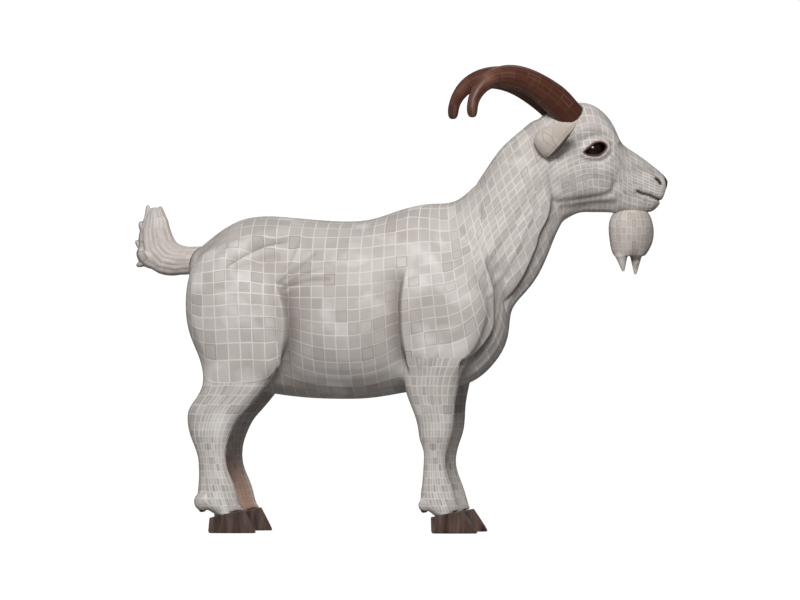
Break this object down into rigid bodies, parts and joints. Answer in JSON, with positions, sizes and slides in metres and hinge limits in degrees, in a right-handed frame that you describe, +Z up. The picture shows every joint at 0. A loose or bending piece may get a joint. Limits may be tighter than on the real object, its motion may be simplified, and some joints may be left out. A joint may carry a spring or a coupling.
{
  "type": "goat display figure",
  "caption": "Life-size standing goat figure with swept-back horns, beard, short upturned tail and cloven hooves, as moulded shells over a steel armature.",
  "frame": {"origin": "on the ground, in the goat's plane of symmetry, half way between the tip of the tail and the tip of the nose", "axes": "+X towards the head, +Y to the goat's own left, +Z up"},
  "size_m": [1.1672, 0.3281, 1.0254],
  "materials": {
    "skin": "satin off-white paint with a fine paler grid of lines",
    "horn": "smooth reddish brown with faint lengthwise lines",
    "ear": "satin beige grey",
    "eye": "polished dark brown",
    "nose": "satin dark brown",
    "beard": "satin beige grey with a fine paler grid",
    "tail": "satin beige grey with hair strands",
    "hoof": "satin dark brown",
    "armature_steel": "grey primer",
    "zinc_steel": "zinc plated"
  },
  "bodies": {
    "root": {"beard": "beard", "beard_stud": "zinc_steel", "ear_left": "ear", "ear_right": "ear", "eye_left": "eye", "eye_right": "eye", "front_anchor_left": "zinc_steel", "front_anchor_right": "zinc_steel", "front_cross_bar": "armature_steel", "front_dewclaws_left": "hoof", "front_dewclaws_right": "hoof", "front_inner_claw_left": "hoof", "front_inner_claw_right": "hoof", "front_leg_left": "skin", "front_leg_right": "skin", "front_outer_claw_left": "hoof", "front_outer_claw_right": "hoof", "front_rod_left": "armature_steel", "front_rod_right": "armature_steel", "head_shell": "skin", "hind_anchor_left": "zinc_steel", "hind_anchor_right": "zinc_steel", "hind_cross_bar": "armature_steel", "hind_dewclaws_left": "hoof", "hind_dewclaws_right": "hoof", "hind_inner_claw_left": "hoof", "hind_inner_claw_right": "hoof", "hind_leg_left": "skin", "hind_leg_right": "skin", "hind_outer_claw_left": "hoof", "hind_outer_claw_right": "hoof", "hind_rod_left": "armature_steel", "hind_rod_right": "armature_steel", "horn_left": "horn", "horn_right": "horn", "horn_stud_left": "zinc_steel", "horn_stud_right": "zinc_steel", "lower_jaw": "skin", "neck_shell": "skin", "neck_tube": "armature_steel", "nose_pad": "nose", "spine_tube": "armature_steel", "tail": "tail", "tail_stud": "zinc_steel", "torso_shell_left": "skin", "torso_shell_right": "skin"}
  },
  "joints": []
}
